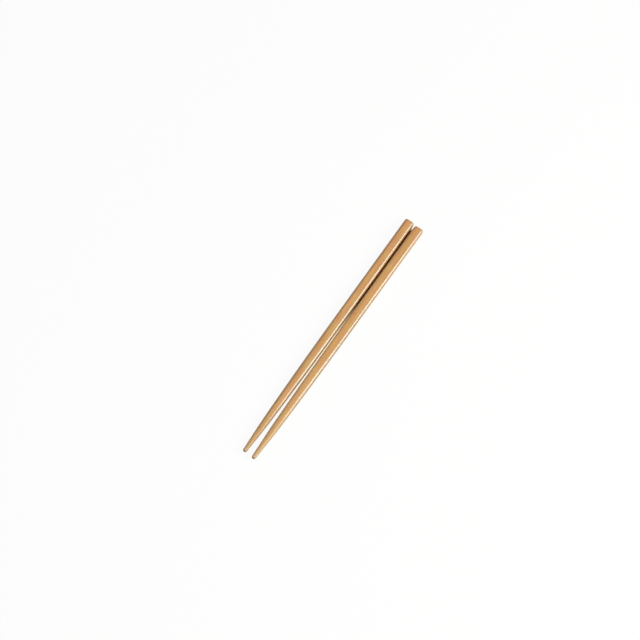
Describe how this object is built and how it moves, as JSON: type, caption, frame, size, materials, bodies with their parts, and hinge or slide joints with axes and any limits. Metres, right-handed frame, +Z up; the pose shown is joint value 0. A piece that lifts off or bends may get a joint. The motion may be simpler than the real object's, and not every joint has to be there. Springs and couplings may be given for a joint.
{
  "type": "bamboo chopsticks",
  "caption": "Bamboo chopsticks with square, round-edged handles that taper to blunt round tips, for picking up and holding food.",
  "frame": {"origin": "middle of the pair, on the surface that the sticks lie on", "axes": "+Y from the tips to the butts, +X towards the right stick, +Z up"},
  "size_m": [0.0156, 0.2106, 0.0072],
  "materials": {
    "bamboo": "clear gloss over caramel bamboo"
  },
  "bodies": {
    "root": {"left_chopstick": "bamboo", "right_chopstick": "bamboo"}
  },
  "joints": []
}
